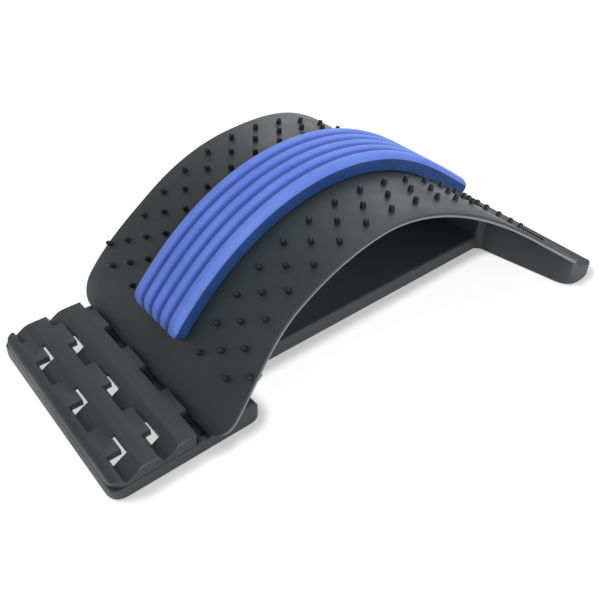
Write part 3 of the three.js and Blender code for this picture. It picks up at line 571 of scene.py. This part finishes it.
# Bowed board with its tongues and hinge tabs
def board_plate():
    """The board alone, with the lower half of its long edges painted paler as a painted
    highlight.
    """
    arcs = corner_arcs(RACK_ARC, RACK_CORNER, 1)
    arcs += even_arcs(RACK_ARC + RACK_CORNER, SOCKET_ARC - SOCKET_CORNER, BOARD_PITCH)[1:-1]
    arcs += corner_arcs(SOCKET_ARC, SOCKET_CORNER, -1)
    plate = drawn_sheet('board_plate', arcs, board_half_width, 12)
    thicken(plate, RIM_LINE)
    edit(plate)
    pick(plate, lambda middle, normal: normal.z < -0.5, 'FACE')
    down = (0, 0, RIM_LINE - BOARD_THICKNESS)
    bpy.ops.mesh.extrude_region_move(TRANSFORM_OT_translate={'value': down})
    done()
    round_edges(plate, BOARD_EDGE, 3, 50)
    plate.data.materials.append(board_plastic)
    plate.data.materials.append(rim_painted_highlight)
    # The lower half of the long edges takes the paler finish: a painted highlight along the rim
    for face in plate.data.polygons:
        if face.center.z < -RIM_LINE and abs(face.normal.y) > 0.3:
            face.material_index = 1
    lay_on_board(plate)
    return plate


def hinge_tab(row):
    arcs = [SOCKET_ARC - TAB_ROOT, SOCKET_ARC, SOCKET_ARC + TAB_REACH]
    tab = drawn_sheet('hinge_tab', arcs, lambda arc: TAB_WIDTH / 2, 2, middle=row)
    thicken(tab, BOARD_THICKNESS)
    lay_on_board(tab)
    return tab


def hinge_knuckle(row):
    x, z = board_point(SOCKET_ARC + TAB_REACH, -BOARD_THICKNESS / 2)
    bpy.ops.object.select_all(action='DESELECT')
    bpy.ops.mesh.primitive_cylinder_add(vertices=32, radius=KNUCKLE_RADIUS, depth=TAB_WIDTH,
                                        location=(x, row, z), rotation=(math.pi / 2, 0, 0))
    knuckle = bpy.context.object
    settle(knuckle)
    return knuckle


def rack_tongue(row):
    middle = (BOARD_END_X + TONGUE_THICKNESS / 2, row, (TONGUE_FOOT + TONGUE_TOP) / 2)
    size = (TONGUE_THICKNESS, TONGUE_WIDTH, TONGUE_TOP - TONGUE_FOOT)
    bpy.ops.object.select_all(action='DESELECT')
    bpy.ops.mesh.primitive_cube_add(size=1, location=middle, scale=size)
    tongue = bpy.context.object
    settle(tongue)
    return tongue


def bowed_board():
    plate = board_plate()
    parts = []
    for row in TAB_ROWS:
        parts += [hinge_tab(row), hinge_knuckle(row)]
    parts += [rack_tongue(row) for row in TONGUE_ROWS]
    for part in parts:
        union = plate.modifiers.new('union', 'BOOLEAN')
        union.operation = 'UNION'
        union.solver = 'EXACT'
        union.object = part
        apply(plate, union)
        bpy.data.objects.remove(part)
    shade(plate)
    return plate


board = bowed_board()
finish_piece(board, board_plastic, 'board_plastic', 'board', 'arch_board')


# Nub strips: one peg is shaped, then copied along each strip
def peg():
    bpy.ops.object.select_all(action='DESELECT')
    foot = STRIP_TOP - STRIP_THICKNESS / 2
    bpy.ops.mesh.primitive_cylinder_add(vertices=16, radius=NUB_RADIUS, depth=NUB_COLLAR - foot,
                                        location=(0, 0, (foot + NUB_COLLAR) / 2))
    piece = bpy.context.object
    settle(piece)
    edit(piece)
    pick(piece, lambda middle, normal: normal.z > 0.5, 'FACE')
    for height, share in NUB_STEPS:
        bpy.ops.mesh.extrude_region_move(TRANSFORM_OT_translate={'value': (0, 0, height)})
        bpy.ops.transform.resize(value=(share, share, 1))
    done()
    return piece


def nub_strip(name, side, column, rows, edge_rows):
    y = FIRST_COLUMN_Y + column * NUB_COLUMN_PITCH
    first = FIRST_NUB_ARC + rows[0] * NUB_PITCH - STRIP_MARGIN
    last = FIRST_NUB_ARC + rows[-1] * NUB_PITCH + STRIP_MARGIN
    strip = drawn_sheet(name, even_arcs(first, last, STRIP_PITCH), lambda arc: STRIP_WIDTH / 2,
                        2, height=STRIP_TOP, middle=side * y)
    thicken(strip, STRIP_THICKNESS)
    parts = [strip]
    for row in edge_rows:
        arc = FIRST_NUB_ARC + row * NUB_PITCH
        arcs = [arc - STRIP_WIDTH / 2, arc, arc + STRIP_WIDTH / 2]
        reach = (NUB_COLUMN_PITCH + ARM_MARGIN) / 2
        arm = drawn_sheet('arm', arcs, lambda place: reach, 2,
                          height=STRIP_TOP, middle=side * (y + reach))
        thicken(arm, STRIP_THICKNESS)
        parts.append(arm)
    places = [(row, y) for row in rows] + [(row, y + NUB_COLUMN_PITCH) for row in edge_rows]
    for row, across in places:
        copy = model_peg.copy()
        copy.data = model_peg.data.copy()
        bpy.context.scene.collection.objects.link(copy)
        copy.location = (on_line(FIRST_NUB_ARC + row * NUB_PITCH), side * across, 0)
        settle(copy)
        parts.append(copy)
    piece = join(parts, name)
    lay_on_board(piece)
    shade(piece, 50)
    return piece


model_peg = peg()
strip_plans = (
    ('inner', 0, range(14), []),
    ('middle', 1, [i + 0.5 for i in range(13)], []),
    ('outer', 2, range(15), [0.5, 13.5]),
)
for kind, column, rows, edge_rows in strip_plans:
    for side, hand in ((1, 'left'), (-1, 'right')):
        strip = nub_strip('nubs_%s_%s' % (kind, hand), side, column, rows, edge_rows)
        node = 'nub_strip_%s_%s' % (kind, hand)
        finish_piece(strip, nub_plastic, 'nub_plastic', 'board', node)
bpy.data.objects.remove(model_peg)


# Foam pad with lengthwise ribs
def groove(across):
    """How deep in a groove a place is, from 0 on a rib's crest to 1 at the groove's foot."""
    wave = abs(math.cos(across * PAD_RIBS * math.pi / 2 + (PAD_RIBS - 1) * math.pi / 2))
    return (1 - wave ** 2) ** PAD_GROOVE_POWER


def pad_height(across, to_end):
    """Height of the pad's top over its back, at a share across and a distance from its end."""
    inside = (1 - abs(across)) * PAD_WIDTH / 2
    edge = corner_loss(inside, PAD_EDGE)
    end = PAD_END_DROP * corner_loss(to_end, PAD_END_ROUND) / PAD_END_ROUND
    held = 1 if inside > PAD_WIDTH / PAD_RIBS / 2 else 0
    fade = smooth((to_end + PAD_GROOVE_LEAD) / PAD_GROOVE_FADE)
    return PAD_THICKNESS - math.hypot(edge, end) - PAD_GROOVE * groove(across) * fade * held


def pad_half_width(arc):
    """Half the pad's width at an arc length, never quite nothing."""
    to_end = min(arc + PAD_ARC / 2, PAD_ARC / 2 - arc)
    return PAD_WIDTH / 2 - corner_loss(to_end, PAD_CORNER) + MERGE_DISTANCE


def ribbed_pad():
    columns = PAD_RIBS * PAD_COLUMNS_PER_RIB
    start, end = -PAD_ARC / 2, PAD_ARC / 2
    arcs = corner_arcs(start, PAD_END_ROUND, 1, 16)
    arcs += even_arcs(start + PAD_END_ROUND, end - PAD_END_ROUND, PAD_PITCH)[1:-1]
    arcs += corner_arcs(end, PAD_END_ROUND, -1, 16)
    pad = drawn_sheet('foam_cushion', arcs, pad_half_width, columns, height=PAD_BACK)
    edit(pad)
    bpy.ops.mesh.select_all(action='SELECT')
    bpy.ops.mesh.extrude_region_move(TRANSFORM_OT_translate={'value': (0, 0, PAD_THICKNESS)})
    done()
    # How deep each point lies in a groove, read by the foam's painted shade
    depth = pad.data.attributes.new('groove_depth', 'FLOAT', 'POINT')
    for vertex in pad.data.vertices:
        if vertex.co.z > PAD_BACK + PAD_THICKNESS / 2:
            arc = vertex.co.x + LINE_START
            to_end = min(arc - start, end - arc)
            across = max(-1, min(1, vertex.co.y / pad_half_width(arc)))
            vertex.co.z = PAD_BACK + pad_height(across, to_end)
            if abs(across) < 1 - 1 / PAD_RIBS:
                depth.data[vertex.index].value = groove(across)
    edit(pad)
    bpy.ops.mesh.select_all(action='SELECT')
    bpy.ops.mesh.normals_make_consistent(inside=False)
    done()
    pad.data.materials.append(foam)
    pad.data.materials.append(side_shade_foam)
    # Faces along the pad's sides take the darker finish: painted shade
    for face in pad.data.polygons:
        heights = [pad.data.vertices[i].co.z - PAD_BACK for i in face.vertices]
        at_back = min(heights) < MERGE_DISTANCE
        if at_back and max(heights) > MERGE_DISTANCE:
            face.material_index = 1
    lay_on_board(pad)
    shade(pad, 60)
    return pad


pad = ribbed_pad()
finish_piece(pad, foam, 'foam', 'board', 'foam_pad')

glue = dressed_copy('pad_adhesive', 'pad_glue_sheet', GLUE_EDGE, 2)
finish_piece(glue, adhesive, 'adhesive', 'board', 'pad_adhesive')
for i in range(4):
    node = 'rack_screw_%d' % (i + 1)
    screw = dressed_copy(node, 'screw_%d' % (i + 1), SCREW_EDGE, 2)
    finish_piece(screw, steel, 'screw_steel', 'base', node)
for place in ('rack', 'waist', 'wing'):
    for hand in ('left', 'right'):
        node = 'foot_%s_%s' % (place, hand)
        foot = dressed_copy(node, 'grip_%s_%s' % (place, hand), FOOT_EDGE, 2)
        finish_piece(foot, foot_rubber, 'foot_rubber', 'base', node)
bpy.data.objects.remove(line)


# Studio
def measure(tree, operation, first, second):
    """One sum or comparison of two values in a finish."""
    node = tree.nodes.new('ShaderNodeMath')
    node.operation = operation
    for i, value in enumerate((first, second)):
        if isinstance(value, float):
            node.inputs[i].default_value = value
        else:
            tree.links.new(value, node.inputs[i])
    return node.outputs['Value']


def under_rack(tree, level):
    """Takes the floor's glow away below the rack, apart from a painted patch of light below its
    slots.
    """
    place = tree.nodes.new('ShaderNodeTexCoord')
    axes = tree.nodes.new('ShaderNodeSeparateXYZ')
    tree.links.new(place.outputs['Object'], axes.inputs['Vector'])
    along = axes.outputs['X']
    sideways = measure(tree, 'ABSOLUTE', axes.outputs['Y'], 0.0)
    inside = measure(tree, 'LESS_THAN', sideways, UNDER_RACK_SIDE)
    before_end = measure(tree, 'LESS_THAN', along, UNDER_RACK_END)
    inside = measure(tree, 'MULTIPLY', inside, before_end)
    past_start = measure(tree, 'GREATER_THAN', along, UNDER_RACK_START)
    inside = measure(tree, 'MULTIPLY', inside, past_start)
    level = measure(tree, 'SUBTRACT', level, inside)
    below_slots = measure(tree, 'LESS_THAN', along, UNDER_SLOTS_END)
    below_slots = measure(tree, 'MULTIPLY', inside, below_slots)
    glow = measure(tree, 'MULTIPLY', below_slots, UNDER_SLOTS_PAINTED_LIGHT)
    return measure(tree, 'MAXIMUM', level, glow)


def white_floor():
    """A white floor with real shade in its diffuse part, and a painted narrow shadow below and
    right of whatever stands on it, where its glow is dimmed by ambient occlusion leaning one
    way.
    """
    bpy.ops.object.select_all(action='DESELECT')
    bpy.ops.mesh.primitive_plane_add(size=12, location=(0, 0, 0))
    floor = bpy.context.object
    floor.name = 'studio_floor'
    finish = bpy.data.materials.new('floor_white')
    finish.use_nodes = True
    tree = finish.node_tree
    bounce = tree.nodes['Principled BSDF']
    bounce.inputs['Base Color'].default_value = (0.8, 0.8, 0.8, 1)
    bounce.inputs['Roughness'].default_value = 0.9
    bounce.inputs['Specular IOR Level'].default_value = 0.0
    plain = tree.nodes.new('ShaderNodeBsdfDiffuse')
    plain.inputs['Color'].default_value = (0.3, 0.3, 0.3, 1)
    path = tree.nodes.new('ShaderNodeLightPath')
    lean = tree.nodes.new('ShaderNodeCombineXYZ')
    for i, value in enumerate(SHADE_LEAN):
        lean.inputs[i].default_value = value
    contact = tree.nodes.new('ShaderNodeAmbientOcclusion')
    contact.samples = 32
    contact.inputs['Distance'].default_value = SHADE_REACH
    tree.links.new(lean.outputs['Vector'], contact.inputs['Normal'])
    # The glow drops where the leaning occlusion finds something near: the painted shadow
    level = spread(tree, contact.outputs['AO'], 0.4, 0.85, 0.6, 0.82)
    glow = tree.nodes.new('ShaderNodeEmission')
    tree.links.new(under_rack(tree, level), glow.inputs['Strength'])
    seen = measure(tree, 'MAXIMUM', path.outputs['Is Camera Ray'], path.outputs['Is Glossy Ray'])
    both = tree.nodes.new('ShaderNodeAddShader')
    tree.links.new(plain.outputs['BSDF'], both.inputs[0])
    tree.links.new(glow.outputs['Emission'], both.inputs[1])
    choice = tree.nodes.new('ShaderNodeMixShader')
    tree.links.new(seen, choice.inputs['Fac'])
    tree.links.new(bounce.outputs['BSDF'], choice.inputs[1])
    tree.links.new(both.outputs['Shader'], choice.inputs[2])
    tree.links.new(choice.outputs['Shader'], tree.nodes['Material Output'].inputs['Surface'])
    floor.data.materials.append(finish)


def soft_lamp(name, place, target, size, power):
    data = bpy.data.lights.new(name, 'AREA')
    data.shape = 'SQUARE'
    data.size = size
    data.energy = power
    lamp = bpy.data.objects.new(name, data)
    lamp.location = place
    aim = Vector(target) - Vector(place)
    lamp.rotation_euler = aim.to_track_quat('-Z', 'Y').to_euler()
    bpy.context.scene.collection.objects.link(lamp)


def studio_world():
    world = bpy.data.worlds.new('studio_world')
    world.use_nodes = True
    tree = world.node_tree
    back = tree.nodes['Background']
    back.inputs['Color'].default_value = (1, 1, 1, 1)
    path = tree.nodes.new('ShaderNodeLightPath')
    level = tree.nodes.new('ShaderNodeMapRange')
    level.inputs['To Min'].default_value = 0.6
    level.inputs['To Max'].default_value = 1.0
    tree.links.new(path.outputs['Is Camera Ray'], level.inputs['Value'])
    tree.links.new(level.outputs['Result'], back.inputs['Strength'])
    bpy.context.scene.world = world


white_floor()
studio_world()
soft_lamp('overhead_softbox', place=(0.5, 0.3, 1.4), target=(0, 0, 0), size=1.2, power=6)
soft_lamp('back_softbox', place=(1.1, 0.95, 0.8), target=(0, 0, 0.08), size=1.0, power=5)
soft_lamp('front_softbox', place=(0.0, -1.2, 0.65), target=(0, 0, 0.02), size=0.8, power=9)

camera_data = bpy.data.cameras.new('photo_camera')
camera_data.lens = 43.315
camera_data.sensor_width = 36
camera = bpy.data.objects.new('photo_camera', camera_data)
camera.location = (-0.2601, -0.3210, 0.3349)
camera.rotation_euler = (math.radians(50.47), 0, math.radians(-38.73))
bpy.context.scene.collection.objects.link(camera)
bpy.context.scene.camera = camera
bpy.context.scene.view_settings.view_transform = 'Standard'
